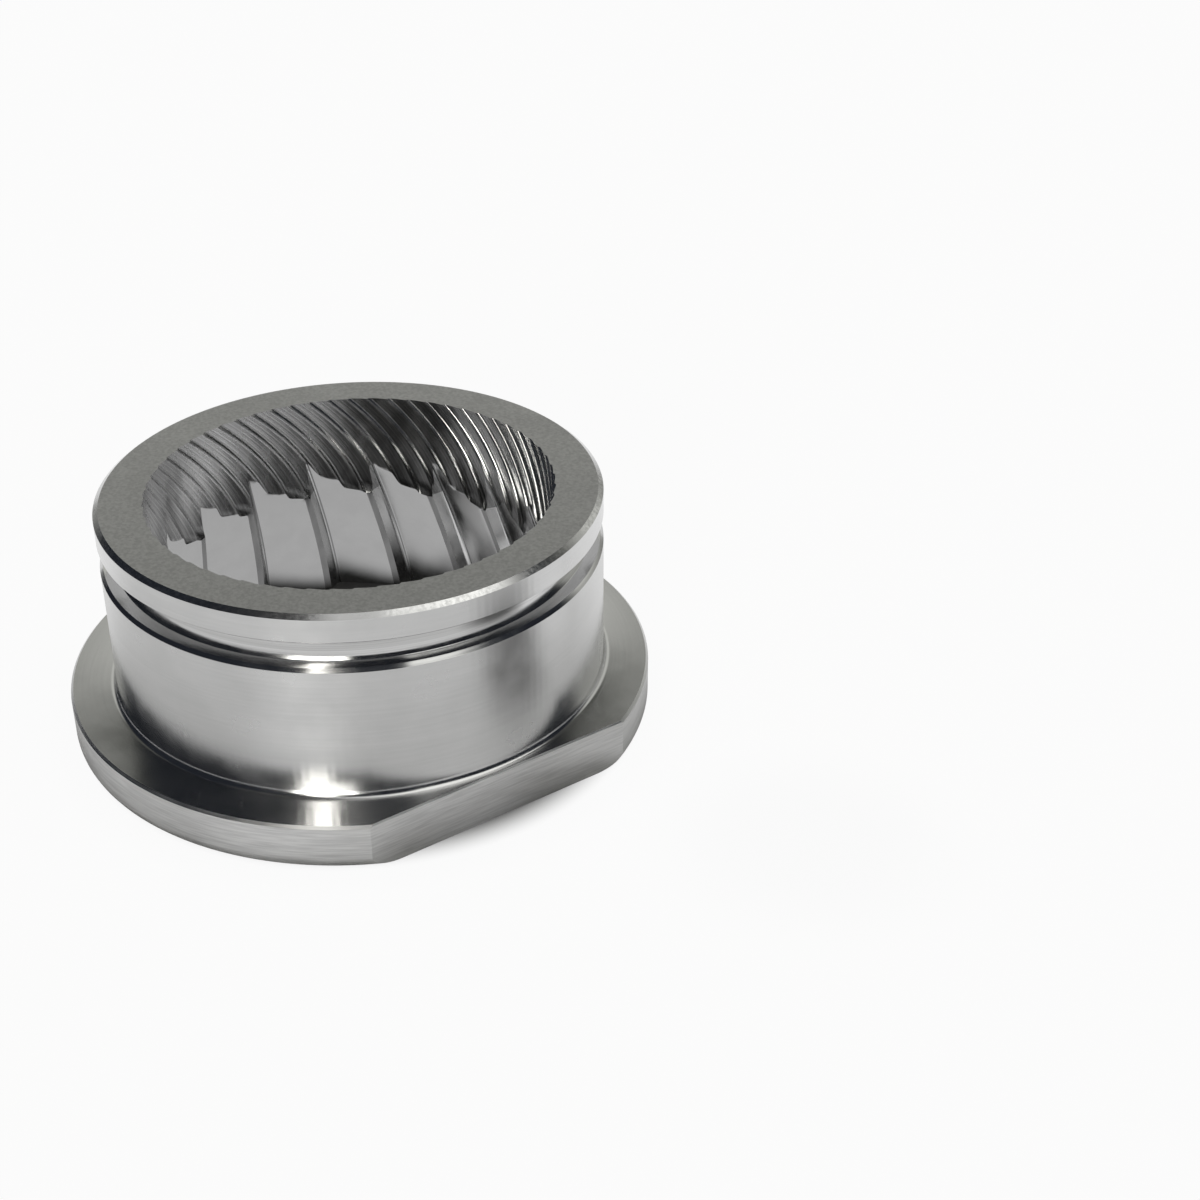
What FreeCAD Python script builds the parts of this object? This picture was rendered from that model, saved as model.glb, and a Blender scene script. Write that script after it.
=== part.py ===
import FreeCAD, Part
import os
import Sketcher

# Outer ring burr of a conical burr coffee grinder, one piece of hardened steel.
# The ring's axis is Z, the underside of its flange lies on Z = 0 and its flat faces +X.
# Lengths are in millimetres and angles in degrees. A depth is measured from the top face.
drivingSizes = {
    # Flange, from the underside up.
    "flange_radius": 35.7,
    "flange_thickness": 6.15,
    "flange_edge_break": 0.3,
    "underside_rounding": 1.75,
    "flat_distance": 31.2,
    # Body, groove and collar.
    "total_height": 29.8,
    "body_radius": 30.1,
    "foot_fillet": 0.85,
    "groove_level": 23.05,
    "groove_width": 3.4,
    "groove_depth": 1.85,
    "groove_edge_bevel": 0.4,
    "collar_edge_break": 0.1,
    "rim_bevel": 0.6,
    # Bore, measured over the crests: it narrows to a waist and opens again like a bell.
    "mouth_radius": 24.25,
    "waist_radius": 23.55,
    "waist_level": 16.4,
    "bell_radius": 27.3,
    # Fine teeth, from the mouth to the waist. The twist is in degrees per millimetre of
    # depth at the top face, and the easing is what it loses with each millimetre.
    "fine_count": 60,
    "fine_mouth_depth": 0.22,
    "fine_waist_depth": 0.42,
    "fine_flank": 0.9,
    "fine_land": 0.2,
    "fine_phase": 30.57,
    "fine_twist": 2.474,
    "fine_easing": 0.068,
    # Coarse blades, which run out of the fine teeth and on to the underside.
    "coarse_count": 18,
    "coarse_depth": 1.6,
    "coarse_flank": 2.35,
    "coarse_land": 0.3,
    "coarse_phase": 51.97,
    "coarse_twist": 0.834,
    "coarse_easing": 0.0115,
    # How far a cutter goes past the steel at its ends, inside the bore where a coarse gap
    # runs out, and at a crest.
    "overrun": 0.6,
    "runout": 0.2,
    "crest_clearance": 0.02,
}

document = FreeCAD.newDocument("RingBurr")
sheet = document.addObject("Spreadsheet::Sheet", "Sizes")
for row, (alias, value) in enumerate(drivingSizes.items(), start=1):
    sheet.set(f"A{row}", alias)
    sheet.set(f"B{row}", str(value))
    sheet.setAlias(f"B{row}", alias)
document.recompute()

# Each size as the text that an expression reads it by.
cell = {alias: f"Sizes.{alias}" for alias in drivingSizes}


def originItem(body, role):
    return next(item for item in body.Origin.OriginFeatures if item.Role == role)


def addOutline(body, name, role, corners):
    """A closed sketch on an origin plane, with each corner held by two expressions."""
    sketch = body.newObject("Sketcher::SketchObject", name)
    sketch.AttachmentSupport = [(originItem(body, role), "")]
    sketch.MapMode = "FlatFace"
    spots = [
        FreeCAD.Vector(*(float(sketch.evalExpression(text)) for text in corner), 0)
        for corner in corners
    ]
    for start, end in zip(spots, spots[1:] + spots[:1]):
        sketch.addGeometry(Part.LineSegment(start, end), False)
    for number, (corner, spot) in enumerate(zip(corners, spots)):
        before = (number - 1) % len(corners)
        sketch.addConstraint(Sketcher.Constraint("Coincident", before, 2, number, 1))
        for kind, axis, text, value in (
            ("DistanceX", -2, corner[0], spot.x),
            ("DistanceY", -1, corner[1], spot.y),
        ):
            if text == "0":
                sketch.addConstraint(Sketcher.Constraint("PointOnObject", number, 1, axis))
            else:
                held = sketch.addConstraint(
                    Sketcher.Constraint(kind, -1, 1, number, 1, value)
                )
                sketch.setExpression(f"Constraints[{held}]", text)
    return sketch


def polar(radius, angle, centre=("0", "0")):
    """The two coordinates of a point at a radius and an angle about a centre."""
    return tuple(
        f"({origin}) + ({radius}) * {ratio}(({angle}) * 1 deg)"
        for origin, ratio in zip(centre, ("cos", "sin"))
    )


def rounding(centre, radius, startAngle, endAngle, steps):
    """Corners that follow an arc about a centre."""
    turn = (endAngle - startAngle) / steps
    return [polar(radius, startAngle + turn * step, centre) for step in range(steps + 1)]


def between(lowValue, lowLevel, highValue, highLevel, level):
    """A value that changes evenly from one level to another, and on beyond them."""
    share = f"({level} - {lowLevel}) / ({highLevel} - {lowLevel})"
    return f"({lowValue} + ({highValue} - {lowValue}) * {share})"


def addBlank(body):
    """The turned blank: flange, foot fillet, body, groove, collar and hourglass bore."""
    flangeRadius = cell["flange_radius"]
    flangeTop = cell["flange_thickness"]
    edgeBreak = cell["flange_edge_break"]
    underRounding = cell["underside_rounding"]
    bodyRadius = cell["body_radius"]
    footFillet = cell["foot_fillet"]
    grooveLevel = cell["groove_level"]
    grooveFloor = f"{bodyRadius} - {cell['groove_depth']}"
    grooveTop = f"{grooveLevel} + {cell['groove_width']}"
    underCentre = (f"{flangeRadius} - {underRounding}", underRounding)
    footCentre = (f"{bodyRadius} + {footFillet}", f"{flangeTop} + {footFillet}")
    corners = [
        (cell["bell_radius"], "0"),
        (f"{flangeRadius} - {underRounding}", "0"),
        *rounding(underCentre, underRounding, -67.5, 0, 3),
        (flangeRadius, f"{flangeTop} - {edgeBreak}"),
        (f"{flangeRadius} - {edgeBreak}", flangeTop),
        *rounding(footCentre, footFillet, 270, 180, 3),
        (bodyRadius, f"{grooveLevel} - {cell['groove_edge_bevel']}"),
        (f"{bodyRadius} - {cell['groove_edge_bevel']}", grooveLevel),
        (grooveFloor, grooveLevel),
        (grooveFloor, grooveTop),
        (f"{bodyRadius} - {cell['collar_edge_break']}", grooveTop),
        (bodyRadius, f"{grooveTop} + {cell['collar_edge_break']}"),
        (bodyRadius, f"{cell['total_height']} - {cell['rim_bevel']}"),
        (f"{bodyRadius} - {cell['rim_bevel']}", cell["total_height"]),
        (cell["mouth_radius"], cell["total_height"]),
        (cell["waist_radius"], cell["waist_level"]),
    ]
    section = addOutline(body, "TurnedSection", "XZ_Plane", corners)
    blank = body.newObject("PartDesign::Revolution", "TurnedBlank")
    blank.Profile = section
    blank.ReferenceAxis = (section, ["V_Axis"])
    blank.Angle = 360
    return blank


def addFlat(body):
    """The flat on the flange, square to X, with its upper edge broken like the rim's."""
    distance = cell["flat_distance"]
    edgeBreak = cell["flange_edge_break"]
    flangeTop = cell["flange_thickness"]
    above = f"{flangeTop} + {cell['overrun']}"
    beyond = f"{cell['flange_radius']} + {cell['overrun']}"
    corners = [
        (distance, "0"),
        (distance, f"{flangeTop} - {edgeBreak}"),
        (f"{distance} - {edgeBreak}", flangeTop),
        (f"{distance} - {edgeBreak}", above),
        (beyond, above),
        (beyond, "0"),
    ]
    flat = body.newObject("PartDesign::Pocket", "FlangeFlat")
    flat.Profile = addOutline(body, "FlatSection", "XZ_Plane", corners)
    flat.Midplane = True
    flat.setExpression("Length", f"2 * {cell['flange_radius']}")
    return flat


def addTeeth(body, family, stations, toothDepth):
    """Saw teeth round the bore: one gap lofted along its easing helix, then repeated.

    stations lists, from the top down, the level and the crest and root radius of each
    section. A section climbs gently from the root to the land of one crest, and drops
    from the other crest to the root in a steep flank. Its last side lies in the bore.
    """
    pitch = f"360 / {cell[family + '_count']}"
    rootAngle = f"{pitch} - {cell[family + '_flank']}"
    sections = []
    for number, (level, crest, root) in enumerate(stations):
        clear = f"{crest} - {cell['crest_clearance']}"
        hollow = f"{crest} - 2 * {toothDepth}"
        landAngle = f"{cell[family + '_land']} / {crest} * 180 / pi"
        corners = [
            polar(clear, landAngle),
            polar(root, rootAngle),
            polar(clear, pitch),
            polar(hollow, f"0.8 * ({pitch})"),
            polar(hollow, f"0.3 * ({pitch})"),
        ]
        section = addOutline(body, f"{family}Section{number}", "XY_Plane", corners)
        depth = f"({cell['total_height']} - {level})"
        twist = f"{cell[family + '_twist']} * {depth} - {cell[family + '_easing']} * {depth}^2"
        section.AttachmentOffset = FreeCAD.Placement(
            FreeCAD.Vector(), FreeCAD.Rotation(FreeCAD.Vector(0, 0, 1), 1)
        )
        section.setExpression("AttachmentOffset.Base.z", level)
        section.setExpression(
            "AttachmentOffset.Rotation.Angle",
            f"{cell[family + '_phase']} - ({rootAngle}) - {twist}",
        )
        sections.append(section)
    gap = body.newObject("PartDesign::SubtractiveLoft", f"{family}Gap")
    gap.Profile = sections[0]
    gap.Sections = sections[1:]
    teeth = body.newObject("PartDesign::PolarPattern", f"{family}Teeth")
    teeth.Originals = [gap]
    teeth.Axis = (originItem(body, "Z_Axis"), [""])
    teeth.Angle = 360
    teeth.setExpression("Occurrences", cell[family + "_count"])
    body.Tip = teeth
    return teeth


def coarseStations():
    """Four sections of a coarse gap, from inside the bore to below the underside."""
    depth = cell["coarse_depth"]
    waistLevel = cell["waist_level"]
    bellTaper = f"({cell['bell_radius']} - {cell['waist_radius']}) / {waistLevel}"
    mouthTaper = (
        f"({cell['mouth_radius']} - {cell['waist_radius']})"
        f" / ({cell['total_height']} - {waistLevel})"
    )
    # The gap's root leaves the steel where it meets the mouth's cone, above the waist.
    start = f"({waistLevel} + ({depth} + {cell['runout']}) / ({bellTaper} + {mouthTaper}))"
    stations = []
    for share in (0, 1 / 3, 2 / 3, 1):
        level = f"({start} - ({start} + {cell['overrun']}) * {share})"
        crest = between(cell["bell_radius"], "0", cell["waist_radius"], waistLevel, level)
        stations.append((level, crest, f"{crest} + {depth}"))
    return stations


def fineStations():
    """Five sections of a fine gap, from above the mouth to the waist."""
    height = cell["total_height"]
    waistLevel = cell["waist_level"]
    top = f"({height} + {cell['overrun']})"
    stations = []
    for share in (0, 0.25, 0.5, 0.75, 1):
        level = f"({top} - ({top} - {waistLevel}) * {share})"
        crest = between(cell["waist_radius"], waistLevel, cell["mouth_radius"], height, level)
        depth = between(
            cell["fine_waist_depth"], waistLevel, cell["fine_mouth_depth"], height, level
        )
        stations.append((level, crest, f"{crest} + {depth}"))
    return stations


def checkObjects():
    for item in document.Objects:
        if "Invalid" in item.State or "Error" in item.State:
            raise RuntimeError(f"{item.Name} failed: {item.State}")


body = document.addObject("PartDesign::Body", "RingBurr")
body.Label = "ring_burr"
body.Placement = FreeCAD.Placement()
steps = [
    lambda: addBlank(body),
    lambda: addFlat(body),
    lambda: addTeeth(body, "coarse", coarseStations(), cell["coarse_depth"]),
    lambda: addTeeth(body, "fine", fineStations(), cell["fine_waist_depth"]),
]
volume = None
for addStep in steps:
    feature = addStep()
    document.recompute()
    checkObjects()
    if volume is not None and feature.Shape.Volume >= volume:
        raise RuntimeError(f"{feature.Name} cut nothing")
    volume = feature.Shape.Volume
    print(f"{feature.Name}: {volume:.1f} cubic millimetres")

shape = body.Shape
if shape.isNull() or not shape.isValid() or len(shape.Solids) != 1:
    raise RuntimeError("the ring burr isn't one valid solid")
os.makedirs("parts", exist_ok=True)
shape.exportStep(f"parts/{body.Label}.step")
facets = shape.tessellate(0.02)[1]
print(f"{body.Label}: {len(shape.Faces)} faces, about {len(facets)} triangles")
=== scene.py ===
import bpy
from math import atan2, cos, pi, radians, sin, sqrt
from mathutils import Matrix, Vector


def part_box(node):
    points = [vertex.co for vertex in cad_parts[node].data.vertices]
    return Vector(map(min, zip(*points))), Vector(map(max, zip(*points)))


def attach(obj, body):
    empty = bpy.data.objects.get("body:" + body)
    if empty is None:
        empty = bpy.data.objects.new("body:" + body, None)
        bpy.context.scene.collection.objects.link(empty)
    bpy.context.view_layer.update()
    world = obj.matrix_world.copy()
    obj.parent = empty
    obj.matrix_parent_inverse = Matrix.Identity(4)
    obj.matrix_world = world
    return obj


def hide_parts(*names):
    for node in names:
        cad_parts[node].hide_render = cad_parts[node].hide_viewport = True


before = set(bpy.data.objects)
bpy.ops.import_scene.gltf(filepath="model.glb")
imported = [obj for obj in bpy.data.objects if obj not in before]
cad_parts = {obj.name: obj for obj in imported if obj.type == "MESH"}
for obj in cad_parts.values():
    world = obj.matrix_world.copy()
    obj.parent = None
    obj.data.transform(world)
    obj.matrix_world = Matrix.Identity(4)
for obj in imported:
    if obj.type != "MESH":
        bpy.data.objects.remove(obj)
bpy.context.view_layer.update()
mm = 0.001
weld = 0.001 * mm  # corners closer than this are one
farCorner = Vector(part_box("ring_burr")[1]) / mm

# Lengths are in millimetres and angles in degrees. Levels rise from the flange's underside.
ring = {
    "height": farCorner.z,
    "flangeRadius": farCorner.y,
    "flatDistance": farCorner.x,
    "flangeTop": 6.15,
    "flangeBreak": 0.3,
    "flatBreak": 0.18,
    "undersideRounding": 1.75,
    "bodyRadius": 30.1,
    "footFillet": 0.85,
    "grooveLevel": 23.05,
    "grooveTop": 26.45,
    "grooveFloor": 28.25,
    "grooveBevel": 0.4,
    "grooveCorner": 0.12,
    "collarBreak": 0.1,
    "rimBevel": 0.62,
    "rimBevelDrop": 0.48,
    "sides": 288,
    "undersideSteps": 10,
    "filletSteps": 8,
    "cornerSteps": 3,
    "smoothAngle": 18,
}
bore = {
    "mouthRadius": 24.25,
    "waistRadius": 23.55,
    "waistLevel": 16.4,
    "bellRadius": 27.3,
    "overrun": 0.6,  # how far the cutters stand out at both ends
    "clearance": 0.02,
}


def startPiece(name):
    bpy.context.object.name = name
    bpy.context.object.data.name = name
    return bpy.context.object


def finishEdit(piece):
    bpy.ops.mesh.select_all(action="SELECT")
    bpy.ops.mesh.remove_doubles(threshold=weld)
    bpy.ops.mesh.normals_make_consistent(inside=False)
    bpy.ops.object.mode_set(mode="OBJECT")
    return piece


def arcCorners(centre, radius, startAngle, endAngle, steps):
    turn = radians(endAngle - startAngle) / steps
    angles = [radians(startAngle) + turn * step for step in range(steps + 1)]
    return [(centre[0] + radius * cos(a), centre[1] + radius * sin(a)) for a in angles]


def turnedSection():
    # Radius and level of each corner, from the underside's inner edge round to the waist.
    wall, top, height = ring["bodyRadius"], ring["flangeTop"], ring["height"]
    rim, lip, bevel = ring["flangeRadius"], ring["flangeBreak"], ring["grooveBevel"]
    rounding, fillet, corner = ring["undersideRounding"], ring["footFillet"], ring["grooveCorner"]
    floor, low, high = ring["grooveFloor"], ring["grooveLevel"], ring["grooveTop"]
    steps = ring["cornerSteps"]
    return [
        (bore["bellRadius"], 0),
        *arcCorners((rim - rounding, rounding), rounding, -90, 0, ring["undersideSteps"]),
        (rim, top - lip),
        (rim - lip, top),
        *arcCorners((wall + fillet, top + fillet), fillet, 270, 180, ring["filletSteps"]),
        (wall, low - bevel),
        (wall - bevel, low),
        *arcCorners((floor + corner, low + corner), corner, 270, 180, steps),
        *arcCorners((floor + corner, high - corner), corner, 180, 90, steps),
        (wall - ring["collarBreak"], high),
        (wall, high + ring["collarBreak"]),
        (wall, height - ring["rimBevelDrop"]),
        (wall - ring["rimBevel"], height),
        (bore["mouthRadius"], height),
        (bore["waistRadius"], bore["waistLevel"]),
    ]


def latheRing(name, corners):
    # One circle, pulled and scaled from corner to corner until it meets itself again.
    bpy.ops.object.select_all(action="DESELECT")
    radius, level = corners[0]
    bpy.ops.mesh.primitive_circle_add(
        vertices=ring["sides"], radius=radius * mm, location=(0, 0, level * mm)
    )
    piece = startPiece(name)
    bpy.ops.object.transform_apply(location=True)
    bpy.ops.object.mode_set(mode="EDIT")
    bpy.ops.mesh.select_all(action="SELECT")
    for (radius, level), (nextRadius, nextLevel) in zip(corners, corners[1:] + corners[:1]):
        rise = (0, 0, (nextLevel - level) * mm)
        bpy.ops.mesh.extrude_region_move(TRANSFORM_OT_translate={"value": rise})
        spread = nextRadius / radius
        bpy.ops.transform.resize(value=(spread, spread, 1), center_override=(0, 0, 0))
    return finishEdit(piece)


def cutFlat(piece):
    bpy.ops.object.mode_set(mode="EDIT")
    bpy.ops.mesh.select_all(action="SELECT")
    bpy.ops.mesh.bisect(
        plane_co=(ring["flatDistance"] * mm, 0, 0),
        plane_no=(1, 0, 0),
        use_fill=True,
        clear_outer=True,
        threshold=weld,
    )
    # The flat's upper edge is broken like the flange's rim.
    bpy.ops.mesh.select_all(action="DESELECT")
    bpy.ops.object.mode_set(mode="OBJECT")
    corner = Vector((ring["flatDistance"], ring["flangeTop"]))
    for edge in piece.data.edges:
        ends = [piece.data.vertices[number].co / mm for number in edge.vertices]
        edge.select = all((end.xz - corner).length < 0.01 for end in ends)
    bpy.ops.object.mode_set(mode="EDIT")
    bpy.ops.mesh.bevel(offset=ring["flatBreak"] * mm, offset_type="OFFSET", segments=1)
    finishEdit(piece)


# The gaps between the teeth. A gap's ramp is hollow by a share of its depth. The cutter's
# inner side stands clear of the crests, two depths in, between two shares of the pitch.
gapShape = {"rampSteps": 7, "rootSteps": 5, "inset": 2, "innerFrom": 0.3, "innerTo": 0.8}
coarseGap = {
    "count": 18,
    "depth": 1.6,
    "flank": 2.35,
    "land": 0.65,
    "rootFillet": 0.6,
    "hollow": 0.04,
    "phase": 51.97,
    "twist": 0.834,
    "easing": 0.0115,
    "start": 22.8,
    "levels": 28,
}
fineGap = {
    "count": 60,
    "mouthDepth": 0.24,
    "waistDepth": 0.46,
    "flank": 0.45,
    "land": 0.1,
    "rootFillet": 0.3,
    "hollow": 0.12,
    "runout": 1.9,
    "phase": 30.57,
    "twist": 2.474,
    "easing": 0.068,
    "levels": 24,
    "crowding": 1.6,  # above 1 the sections stand closer towards the waist
}


def between(low, lowLevel, high, highLevel, level):
    return low + (high - low) * (level - lowLevel) / (highLevel - lowLevel)


def softCorner(before, corner, after, reach, steps):
    # Points of a curve that leaves one side and joins the other, reach away from the corner.
    start = corner + (before - corner).normalized() * reach
    end = corner + (after - corner).normalized() * reach
    shares = [step / steps for step in range(steps + 1)]
    return [(1 - t) ** 2 * start + 2 * t * (1 - t) * corner + t * t * end for t in shares]


def gapSection(gap, level, crest, root, depth):
    # From the land of one crest down the hollow ramp, round the root and up the steep flank.
    pitch = 360 / gap["count"]
    clear = crest - bore["clearance"]
    drop = ring["height"] - level
    turn = gap["phase"] - (pitch - gap["flank"]) - gap["twist"] * drop + gap["easing"] * drop**2

    def spot(radius, angle):
        return Vector((radius * cos(radians(angle)), radius * sin(radians(angle)), 0))

    landEnd = spot(clear, gap["land"] / crest * 180 / pi)
    foot = spot(root, pitch - gap["flank"])
    top = spot(clear, pitch)
    corner = softCorner(landEnd, foot, top, gap["rootFillet"], gapShape["rootSteps"])
    ramp = []
    for step in range(gapShape["rampSteps"]):
        share = step / gapShape["rampSteps"]
        point = landEnd.lerp(corner[0], share)
        sag = gap["hollow"] * (root - crest) * 4 * share * (1 - share)
        ramp.append(point + point.normalized() * sag)
    inside = crest - gapShape["inset"] * depth
    inner = [spot(inside, gapShape[end] * pitch) for end in ("innerTo", "innerFrom")]
    outline = ramp + corner + [top] + inner
    angle = radians(turn)
    return [
        (p.x * cos(angle) - p.y * sin(angle), p.x * sin(angle) + p.y * cos(angle), level)
        for p in outline
    ]


def coarseSections():
    start, bottom, depth = coarseGap["start"], -bore["overrun"], coarseGap["depth"]
    sections = []
    for number in range(coarseGap["levels"]):
        level = start + (bottom - start) * number / (coarseGap["levels"] - 1)
        crest = between(bore["bellRadius"], 0, bore["waistRadius"], bore["waistLevel"], level)
        sections.append(gapSection(coarseGap, level, crest, crest + depth, depth))
    return sections


def fineSections():
    waist, mouth = bore["waistLevel"], ring["height"]
    top, deepest = mouth + bore["overrun"], fineGap["waistDepth"]
    sections = []
    for number in range(fineGap["levels"]):
        share = number / (fineGap["levels"] - 1)
        level = top + (waist - top) * (1 - (1 - share) ** fineGap["crowding"])
        crest = between(bore["waistRadius"], waist, bore["mouthRadius"], mouth, level)
        depth = between(deepest, waist, fineGap["mouthDepth"], mouth, level)
        # Towards the waist the gap curves in and runs out.
        curve = max(0, 1 - (level - waist) / fineGap["runout"])
        depth -= (deepest - bore["clearance"]) * curve**2
        sections.append(gapSection(fineGap, level, crest, crest + depth, deepest))
    return sections


def loftGaps(name, gap, sections):
    # A circle with a corner for each point of the section, pulled down once for each level,
    # set on the sections and then spun into one gap for each tooth.
    corners = len(sections[0])
    bpy.ops.object.select_all(action="DESELECT")
    bpy.ops.mesh.primitive_circle_add(vertices=corners, radius=mm, fill_type="NGON")
    piece = startPiece(name)
    bpy.ops.object.mode_set(mode="EDIT")
    bpy.ops.mesh.select_all(action="SELECT")
    for _ in sections[1:]:
        bpy.ops.mesh.extrude_region_move(TRANSFORM_OT_translate={"value": (0, 0, -mm)})
    bpy.ops.object.mode_set(mode="OBJECT")
    for vertex in piece.data.vertices:
        level = round(-vertex.co.z / mm)
        corner = round(atan2(vertex.co.y, vertex.co.x) / (2 * pi) * corners) % corners
        vertex.co = Vector(sections[level][corner]) * mm
    bpy.ops.object.mode_set(mode="EDIT")
    bpy.ops.mesh.select_all(action="SELECT")
    bpy.ops.mesh.spin(
        steps=gap["count"] - 1,
        dupli=True,
        angle=2 * pi * (gap["count"] - 1) / gap["count"],
        center=(0, 0, 0),
        axis=(0, 0, 1),
    )
    return finishEdit(piece)


def cutAway(piece, tool):
    cut = piece.modifiers.new(tool.name, "BOOLEAN")
    cut.operation = "DIFFERENCE"
    cut.solver = "MANIFOLD"
    cut.object = tool
    bpy.ops.object.select_all(action="DESELECT")
    bpy.context.view_layer.objects.active = piece
    piece.select_set(True)
    bpy.ops.object.modifier_apply(modifier=cut.name)
    bpy.data.objects.remove(tool, do_unlink=True)


noiseRange = (0.28, 0.72)  # where plain noise becomes 0 and 1


class Socket:
    # Wraps an output, so that shader maths is written as Python expressions.
    def __init__(self, output):
        self.output = output

    def node(self, kind, settings=None, sockets=None, result=0):
        tree = self.output.id_data
        made = tree.nodes.new(kind)
        for name, value in (settings or {}).items():
            setattr(made, name, value)
        for name, value in (sockets or {}).items():
            if isinstance(value, Socket):
                tree.links.new(value.output, made.inputs[name])
            else:
                made.inputs[name].default_value = value
        return Socket(made.outputs[result])

    def maths(self, operation, *others):
        values = dict(enumerate((self, *others)))
        return self.node("ShaderNodeMath", {"operation": operation}, values)

    def __add__(self, other):
        return self.maths("ADD", other)

    def __sub__(self, other):
        return self.maths("SUBTRACT", other)

    def __rsub__(self, other):
        return self.maths("MULTIPLY_ADD", -1, other)

    def __mul__(self, other):
        return self.maths("MULTIPLY", other)

    def __truediv__(self, other):
        return self.maths("DIVIDE", other)

    __radd__ = __add__
    __rmul__ = __mul__

    def vectorMaths(self, operation, other=None, result="Value"):
        vectors = {0: self} if other is None else {0: self, 1: other}
        return self.node("ShaderNodeVectorMath", {"operation": operation}, vectors, result)

    def part(self, axis):
        return self.node("ShaderNodeSeparateXYZ", {}, {"Vector": self}, axis)

    def step(self, low, high, fromLow=0, toHigh=1):
        # Runs softly from one value to another between two limits.
        return self.node(
            "ShaderNodeMapRange",
            {"interpolation_type": "SMOOTHSTEP"},
            {"Value": self, "From Min": low, "From Max": high, "To Min": fromLow, "To Max": toHigh},
        )

    def noise(self, scale, detail):
        # Noise between 0 and 1, stretched by a scale for each axis, in lines per metre.
        stretched = self.node(
            "ShaderNodeMapping", {"vector_type": "POINT"}, {"Vector": self, "Scale": scale}
        )
        grains = stretched.node(
            "ShaderNodeTexNoise", {}, {"Vector": stretched, "Scale": 1, "Detail": detail}
        )
        return grains.step(*noiseRange)

    def blend(self, first, second):
        # Two colours mixed by this value.
        return self.node(
            "ShaderNodeMix", {"data_type": "RGBA"}, {"Factor": self, 6: first, 7: second}, 2
        )


def feed(shader, name, value):
    if isinstance(value, Socket):
        shader.id_data.links.new(value.output, shader.inputs[name])
    else:
        shader.inputs[name].default_value = value


def newMaterial(name):
    material = bpy.data.materials.new(name)
    material.use_nodes = True
    tree = material.node_tree
    shader = tree.nodes["Principled BSDF"]
    place = Socket(tree.nodes.new("ShaderNodeTexCoord").outputs["Object"])
    return material, shader, place


camera = {
    "place": (183.31, -97.53, 137.0),
    "pitchDown": 30.927,
    "turn": 53.77,
    "lens": 58.31,
    "sensor": 36,
    "nearest": 10,
}
turnSin, turnCos = sin(radians(camera["turn"])), cos(radians(camera["turn"]))
towardCamera = (turnSin, -turnCos, 0)  # level directions, as the camera stands
acrossPicture = (turnCos, turnSin, 0)


# A layer's scale is in lines per metre along x, y and z. Its tone and roughness are the
# changes from its dark to its light parts, and its relief is in millimetres.
plainFinishes = {
    "cutSteel": {
        "colour": 0.6,
        "roughness": 0.22,
        "layers": [{"scale": (300, 300, 300), "detail": 2, "tone": 0.05, "roughness": 0.1}],
    },
    "landSteel": {
        "colour": 0.28,
        "roughness": 0.3,
        "layers": [{"scale": (500, 500, 200), "detail": 3, "tone": 0.08, "roughness": 0.1}],
    },
    "groundSteel": {
        "colour": 0.47,
        "roughness": 0.36,
        "layers": [
            {"scale": (160, 160, 160), "detail": 2, "tone": 0.05, "roughness": 0.08},
            {"scale": (2600, 2600, 2600), "detail": 3, "tone": 0.12, "relief": 0.004},
        ],
    },
    "brushedSteel": {
        "colour": 0.68,
        "roughness": 0.34,
        "layers": [
            {"scale": (90, 90, 300), "detail": 2, "tone": 0.06},
            {
                "scale": (220, 220, 4200), "detail": 4,
                "tone": 0.16, "roughness": 0.1, "relief": 0.003,
            },
        ],
    },
    "grooveSteel": {
        "colour": 0.6,
        "roughness": 0.15,
        "layers": [
            {"scale": (200, 200, 600), "detail": 2, "roughness": 0.1},
            {"scale": (30, 30, 5000), "detail": 3, "tone": 0.12, "relief": 0.0008},
        ],
    },
}
turned = {
    "colour": 0.62,
    "roughness": 0.24,
    "flangeRoughness": 0.16,
    "cloudScale": (170, 170, 170),
    "cloudDetail": 5,
    "cloudTone": 0.06,
    "cloudRoughness": 0.08,
    "lineScale": (4200, 900, 4200),  # across, along and up
    "lineLength": 0.002,  # what a radian counts for along a line
    "lineDetail": 4,
    "lineTone": 0.025,
    "ripples": 190,
    "rippleScale": (60, 60, 90),
    "rippleDetail": 1,
    "rippleFade": (1, 4),  # above the flange
    "rippleShare": 10,
    "relief": 0.00025,
    "anisotropy": 0.7,
    "slant": 90,
}
helix = {
    "colour": 0.6,
    "roughnessLeft": 0.25,
    "roughnessRight": 0.18,
    "leftTo": -6,
    "rightFrom": 14,
    "cloudScale": (400, 400, 200),
    "cloudDetail": 3,
    "cloudTone": 0.1,
    "cloudRoughness": 0.08,
    "streaks": ((4, 0, 0.5), (7, 1.3, 0.35), (11, 2.1, 0.25)),  # waves a tooth, shift, share
    "streakTone": 0.14,
    "relief": 0.0015,
    "paintedShadeFrom": 25,  # painted shade: the teeth's colour grows darker below this level
    "paintedShadeTo": 17,
    "unshadedTone": 1.1,
    "paintedShadeTone": 0.5,
    "anisotropy": 0.5,
    "slant": 32,
}
edges = {
    "colour": 0.64,
    "roughness": 0.2,
    "detail": 2,
    "nickScale": (2200, 2200, 2200),
    "nickTone": 0.3,
    "nickRoughness": 0.06,
    "nickedScale": (180, 180, 180),
    "nickedShare": 0.4,
}


def steel(name):
    material, shader, place = newMaterial(name)
    shader.inputs["Metallic"].default_value = 1
    return material, shader, place


def raiseRelief(shader, height, depth):
    sockets = {"Height": height, "Distance": depth * mm, "Strength": 1}
    feed(shader, "Normal", height.node("ShaderNodeBump", {}, sockets))


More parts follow.
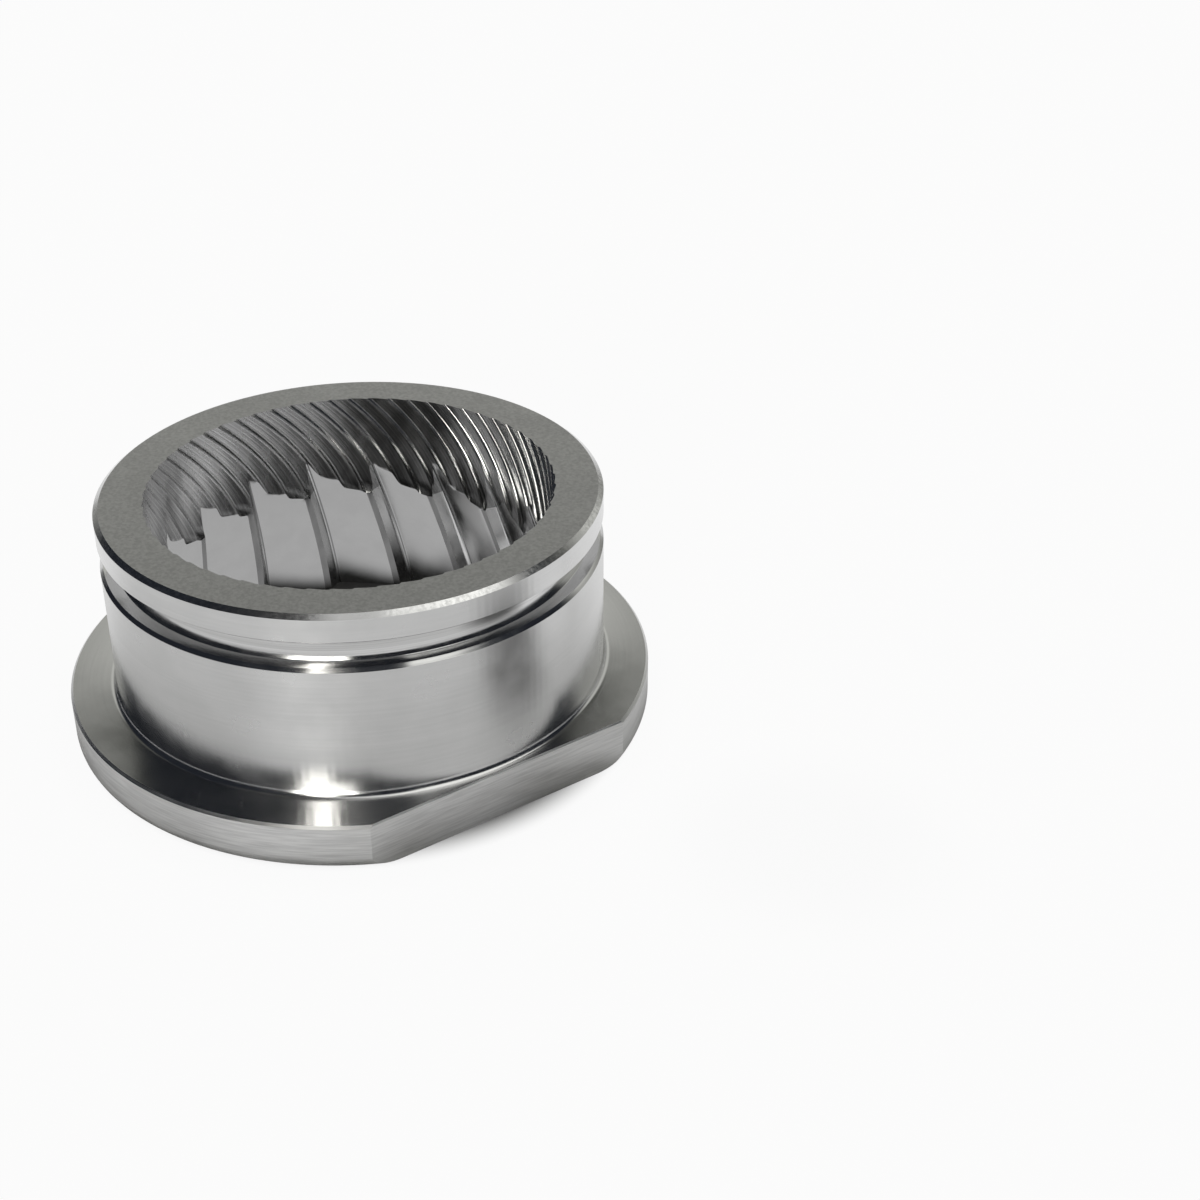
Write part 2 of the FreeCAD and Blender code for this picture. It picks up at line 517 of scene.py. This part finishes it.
def plainSteel(name):
    look = plainFinishes[name]
    material, shader, place = steel(name)
    tone, roughness = look["colour"], look["roughness"]
    for layer in look["layers"]:
        pattern = place.noise(layer["scale"], layer["detail"])
        if "tone" in layer:
            tone = tone + (pattern - 0.5) * layer["tone"]
        if "roughness" in layer:
            roughness = roughness + (pattern - 0.5) * layer["roughness"]
        if "relief" in layer:
            raiseRelief(shader, pattern, layer["relief"])
    feed(shader, "Base Color", tone)
    feed(shader, "Roughness", roughness)
    return material


def turnedSteel():
    material, shader, place = steel("turnedSteel")
    shader.inputs["Anisotropic"].default_value = turned["anisotropy"]
    shader.inputs["Anisotropic Rotation"].default_value = turned["slant"] / 360
    x, y, z = (place.part(axis) for axis in "XYZ")
    turn = y.maths("ARCTAN2", x)
    radius = (x * x + y * y).maths("SQRT")
    # Turned lines run round the axis, on the walls one above the other, on the flange nested.
    along = turn * turned["lineLength"]
    across = x.node("ShaderNodeCombineXYZ", {}, {"X": radius, "Y": along, "Z": z})
    lines = across.noise(turned["lineScale"], turned["lineDetail"]) - 0.5
    cloud = place.noise(turned["cloudScale"], turned["cloudDetail"]) - 0.5
    # Faint upright ripples on the body, as a lathe leaves them.
    above = z / mm - ring["flangeTop"]
    ripple = turn.maths("MULTIPLY", turned["ripples"]).maths("SINE")
    ripple = ripple * place.noise(turned["rippleScale"], turned["rippleDetail"])
    ripple = ripple * above.step(*turned["rippleFade"]) * turned["rippleShare"]
    tone = turned["colour"] + lines * turned["lineTone"] + cloud * turned["cloudTone"]
    feed(shader, "Base Color", tone)
    roughness = above.step(0, 1, turned["flangeRoughness"], turned["roughness"])
    feed(shader, "Roughness", roughness + cloud * turned["cloudRoughness"])
    raiseRelief(shader, lines + ripple, turned["relief"])
    return material


def helixSteel():
    # Ground along the fine gaps, so streaks follow their twist and light spreads across them.
    material, shader, place = steel("helixSteel")
    shader.inputs["Anisotropic"].default_value = helix["anisotropy"]
    shader.inputs["Anisotropic Rotation"].default_value = helix["slant"] / 360
    x, y, z = (place.part(axis) for axis in "XYZ")
    level = z / mm
    drop = ring["height"] - level
    turn = y.maths("ARCTAN2", x) * (180 / pi)
    turn = turn + drop * fineGap["twist"] - drop * drop * fineGap["easing"]
    phase = turn * (pi / 180 * fineGap["count"])
    streaks = sum(
        (phase * rate + shift).maths("SINE") * share for rate, shift, share in helix["streaks"]
    )
    cloud = place.noise(helix["cloudScale"], helix["cloudDetail"]) - 0.5
    tone = helix["colour"] + streaks * helix["streakTone"] + cloud * helix["cloudTone"]
    # Painted shade: the fine teeth's colour darkens from one level down to the other.
    paintedShade = level.step(helix["paintedShadeTo"], helix["paintedShadeFrom"], helix["paintedShadeTone"], helix["unshadedTone"])
    feed(shader, "Base Color", tone * paintedShade)
    side = place.vectorMaths("DOT_PRODUCT", acrossPicture) / mm
    roughness = side.step(
        helix["leftTo"], helix["rightFrom"], helix["roughnessLeft"], helix["roughnessRight"]
    )
    feed(shader, "Roughness", roughness + cloud * helix["cloudRoughness"])
    raiseRelief(shader, streaks, helix["relief"])
    return material


def edgeSteel():
    material, shader, place = steel("edgeSteel")
    nicks = place.noise(edges["nickScale"], edges["detail"])
    nicked = place.noise(edges["nickedScale"], edges["detail"])
    tone = edges["colour"] + (nicks * nicked - edges["nickedShare"]) * edges["nickTone"]
    feed(shader, "Base Color", tone)
    feed(shader, "Roughness", edges["roughness"] + (nicks - 0.5) * edges["nickRoughness"])
    return material


# How a face is told apart, by its distance from a level or a wall, its lean and its skew.
faceRules = {
    "near": 0.01,
    "level": 0.99,
    "outside": 0.5,
    "besideFlat": 0.02,
    "inGroove": 0.2,
    "fineLean": -0.13,  # the coarse gaps lean further over the paper than the fine ones
    "landSkew": 0.05,
}


def finishFor(face):
    centre, normal = face.center / mm, face.normal
    radius = sqrt(centre.x**2 + centre.y**2)
    outward = normal.x * centre.x + normal.y * centre.y
    skew = abs(normal.x * centre.y - normal.y * centre.x)
    near, wall = faceRules["near"], ring["grooveFloor"]
    level = abs(normal.z) > faceRules["level"]
    if level and (centre.z > ring["height"] - near or centre.z < near):
        return "groundSteel"
    if level and abs(centre.z - ring["flangeTop"]) < near:
        return "turnedSteel"
    if outward > 0 and radius > wall - faceRules["outside"]:
        onFlat = centre.x > ring["flatDistance"] - faceRules["besideFlat"]
        if onFlat or centre.z < ring["flangeTop"]:
            return "brushedSteel"
        if centre.z > ring["height"] - ring["rimBevelDrop"]:
            return "edgeSteel"
        if ring["grooveLevel"] - ring["grooveBevel"] < centre.z < ring["grooveTop"]:
            return "grooveSteel"
        return "turnedSteel"
    if radius > wall - faceRules["inGroove"] and centre.z > ring["grooveLevel"] - near:
        return "grooveSteel"
    if normal.z > faceRules["fineLean"] and centre.z > bore["waistLevel"]:
        return "helixSteel"
    if skew < faceRules["landSkew"] * radius:
        return "landSteel"
    return "cutSteel"


def dressFaces(piece):
    materials = {name: plainSteel(name) for name in plainFinishes}
    materials.update(turnedSteel=turnedSteel(), helixSteel=helixSteel(), edgeSteel=edgeSteel())
    piece.data.materials.clear()
    for material in materials.values():
        piece.data.materials.append(material)
    slots = list(materials)
    for face in piece.data.polygons:
        face.material_index = slots.index(finishFor(face))


burr = latheRing("ringBurr", turnedSection())
cutFlat(burr)
print("ring turned, flat cut:", len(burr.data.polygons), "faces")
cutAway(burr, loftGaps("coarseGaps", coarseGap, coarseSections()))
print("coarse gaps cut:", len(burr.data.polygons), "faces")
cutAway(burr, loftGaps("fineGaps", fineGap, fineSections()))
print("fine gaps cut:", len(burr.data.polygons), "faces")
bpy.ops.object.shade_smooth_by_angle(angle=radians(ring["smoothAngle"]))
dressFaces(burr)
print("finishes on:", ", ".join(material.name for material in burr.data.materials))
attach(burr, "root")
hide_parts("ring_burr")

# The paper under the ring. Its glow is what the camera and the polished faces see of it.
paper = {
    "width": 4000,
    "roughness": 0.9,
    "tone": 0.84,
    # Painted shade: the paper's colour beside the flange and under the ring.
    "toneByFlange": 0.5,
    "toneInside": 0.08,
    "toneReach": 5,
    "cameraGlow": 0.95,
    # Painted light and shade in what the polished faces see of the paper.
    "mirroredGlow": 0.8,
    "mirroredByFlange": 0.33,
    "glowFrom": 30,
    "glowTo": 95,
    "glowBehind": 0.35,
    "behind": (10, -25),
    "clearFrom": -0.5,  # from the flange's edge
    "clearTo": 3.5,
}
# Round spots on the paper. Places run from the axis towards the camera and across the picture.
# Painted pools of light on the paper inside the bore.
pools = [
    {"towards": -18, "across": -8.5, "reach": 17.5, "edge": 6, "glow": 0.6},  # far left
    {"towards": -20, "across": 11, "reach": 8, "edge": 6, "glow": 0.4},  # far right
]
# Painted light spots on the paper round the ring, seen only by the polished faces.
paintedLightSpots = [
    {"towards": 31, "across": 20, "reach": 12, "edge": 9, "glow": 0.16},  # beside the flat
    {"towards": 8, "across": 71, "reach": 15, "edge": 8, "glow": 0.6},  # painted glint on the right
    {"towards": 50, "across": -13, "reach": 21, "edge": 17, "glow": 0.22},  # before the body
]
# A painted shade on the paper at the right, darkening its colour and its glow.
shade = {"towards": 30, "across": 54, "reach": 21, "edge": 15, "depth": 0.9}
# Painted light under the mouth's right half, seen only by the polished faces, from one limit of
# each pair to the other.
crescent = {
    "reach": (18, 23.5),
    "towards": (-22, -10),
    "across": (-10, 12),
    "rim": (-0.8, -2.8),
    "glow": 3.6,
}
poolRim = (0.2, -3)  # from the bell's edge


def addFloor():
    bpy.ops.mesh.primitive_plane_add(size=paper["width"] * mm, location=(0, 0, 0))
    floor = startPiece("floor")
    material, shader, place = newMaterial("paper")
    shader.inputs["Roughness"].default_value = paper["roughness"]
    toCamera = place.node("ShaderNodeLightPath", result="Is Camera Ray")
    toGloss = Socket(toCamera.output.node.outputs["Is Glossy Ray"])
    reach = place.vectorMaths("LENGTH") / mm
    towards = place.vectorMaths("DOT_PRODUCT", towardCamera) / mm
    across = place.vectorMaths("DOT_PRODUCT", acrossPicture) / mm
    fromBell = reach - bore["bellRadius"]
    fromFlange = reach - ring["flangeRadius"]

    def spot(shape):
        # Gives 1 in the middle of a round spot and falls softly to 0 at its edge.
        centre = Vector(towardCamera) * shape["towards"] + Vector(acrossPicture) * shape["across"]
        offset = place.vectorMaths("SUBTRACT", tuple(centre * mm), "Vector")
        away = offset.vectorMaths("LENGTH") / mm
        return away.step(shape["reach"], shape["reach"] - shape["edge"])

    # Painted shade: under the ring's edges the paper's colour is dark, and beside the flange and
    # under the shade spot it is darker than elsewhere.
    outside = reach.step(ring["bodyRadius"], ring["flangeRadius"])
    beside = fromFlange.step(0, paper["toneReach"], paper["toneByFlange"], paper["tone"])
    dim = 1 - spot(shade) * shade["depth"]
    inside = paper["toneInside"]
    feed(shader, "Base Color", inside + outside * (beside * dim - inside))

    # Painted light: soft pools and a crescent of glow on the paper inside the bore, standing in for
    # light that falls through the mouth.
    pooled = sum(spot(pool) * pool["glow"] for pool in pools) * fromBell.step(*poolRim)
    light = reach.step(*crescent["reach"]) * fromBell.step(*crescent["rim"]) * crescent["glow"]
    light = light * towards.step(*crescent["towards"]) * across.step(*crescent["across"])
    # Painted light and shade for the polished faces: the paper glows more away from the ring and
    # behind it, fades out towards the flange's edge, and is dimmed under the shade spot.
    glowing = reach.step(
        paper["glowFrom"], paper["glowTo"], paper["mirroredByFlange"], paper["mirroredGlow"]
    )
    glowing = glowing * fromFlange.step(paper["clearFrom"], paper["clearTo"])
    glowing = glowing + outside * towards.step(*paper["behind"]) * paper["glowBehind"]
    lit = sum(spot(shape) * shape["glow"] for shape in paintedLightSpots)
    mirrored = glowing * dim + lit + (1 - outside) * (pooled + light)
    share = toCamera * outside * paper["cameraGlow"] + toGloss * mirrored
    glow = place.node("ShaderNodeEmission", {}, {"Color": (1, 1, 1, 1), "Strength": 1})
    mixed = place.node("ShaderNodeMixShader", {}, {0: share, 1: Socket(shader.outputs[0]), 2: glow})
    tree = material.node_tree
    tree.links.new(mixed.output, tree.nodes["Material Output"].inputs["Surface"])
    floor.data.materials.append(material)


sky = {
    "low": (0.68, 0.683, 0.643, 1),
    "high": (0.115, 0.117, 0.106, 1),
    "highFrom": (28.5, 36),
    "horizon": 0.45,
    "horizonTo": (2, 22),
}
# Patches of the room round the part. Azimuths run from the camera's side, to its right.
patches = {
    "overhead": {
        "colour": (0.06, 0.06, 0.06, 1), "azimuth": 0, "halfWidth": 200,
        "low": 50, "high": 120, "edge": 10,
    },
    "room": {
        "colour": (0.02, 0.023, 0.03, 1), "azimuth": -8, "halfWidth": 120,
        "low": -20, "high": 55, "edge": 12,
    },
    "doorway": {
        "colour": (4.8, 4.7, 4.4, 1), "azimuth": -17, "halfWidth": 4,
        "low": 30, "high": 54, "edge": 3,
    },
    "shopfront": {
        "colour": (9, 8.9, 8.4, 1), "azimuth": -12, "halfWidth": 10,
        "low": 6, "high": 21, "edge": 4,
    },
    "ceiling": {
        "colour": (0.9, 0.9, 0.88, 1), "azimuth": 60, "halfWidth": 85,
        "low": 68, "high": 120, "edge": 8,
    },
    "skylight": {
        "colour": (1.3, 1.3, 1.25, 1), "azimuth": 78, "halfWidth": 42,
        "low": 52, "high": 90, "edge": 5,
    },
}


def addWorld():
    world = bpy.data.worlds.new("studio")
    bpy.context.scene.world = world
    world.use_nodes = True
    tree = world.node_tree
    direction = Socket(tree.nodes.new("ShaderNodeTexCoord").outputs["Generated"])
    axes = (towardCamera, acrossPicture, (0, 0, 1))
    front, right, up = (direction.vectorMaths("DOT_PRODUCT", axis) for axis in axes)
    elevation = up.maths("ARCSINE") * (180 / pi)
    azimuth = right.maths("ARCTAN2", front) * (180 / pi)
    light = elevation.step(*sky["horizonTo"], sky["horizon"]).blend((0, 0, 0, 1), sky["low"])
    light = elevation.step(*sky["highFrom"]).blend(light, sky["high"])
    for patch in patches.values():
        edge = patch["edge"]
        aside = (azimuth - patch["azimuth"]).maths("WRAP", 180, -180).maths("ABSOLUTE")
        mask = aside.step(patch["halfWidth"] + edge, patch["halfWidth"])
        mask = mask * elevation.step(patch["low"] - edge, patch["low"])
        mask = mask * elevation.step(patch["high"] + edge, patch["high"])
        light = mask.blend(light, patch["colour"])
    seen = direction.node("ShaderNodeLightPath", result="Is Camera Ray")
    background = tree.nodes["Background"]
    tree.links.new(seen.blend(light, (1, 1, 1, 1)).output, background.inputs["Color"])


def addCamera():
    bpy.ops.object.camera_add(
        location=Vector(camera["place"]) * mm,
        rotation=(radians(90 - camera["pitchDown"]), 0, radians(camera["turn"])),
    )
    view = bpy.context.object
    view.data.lens = camera["lens"]
    view.data.sensor_width = camera["sensor"]
    view.data.clip_start = camera["nearest"] * mm
    bpy.context.scene.camera = view
    bpy.context.scene.view_settings.view_transform = "Standard"


addFloor()
addWorld()
addCamera()
print("floor, light and camera set")
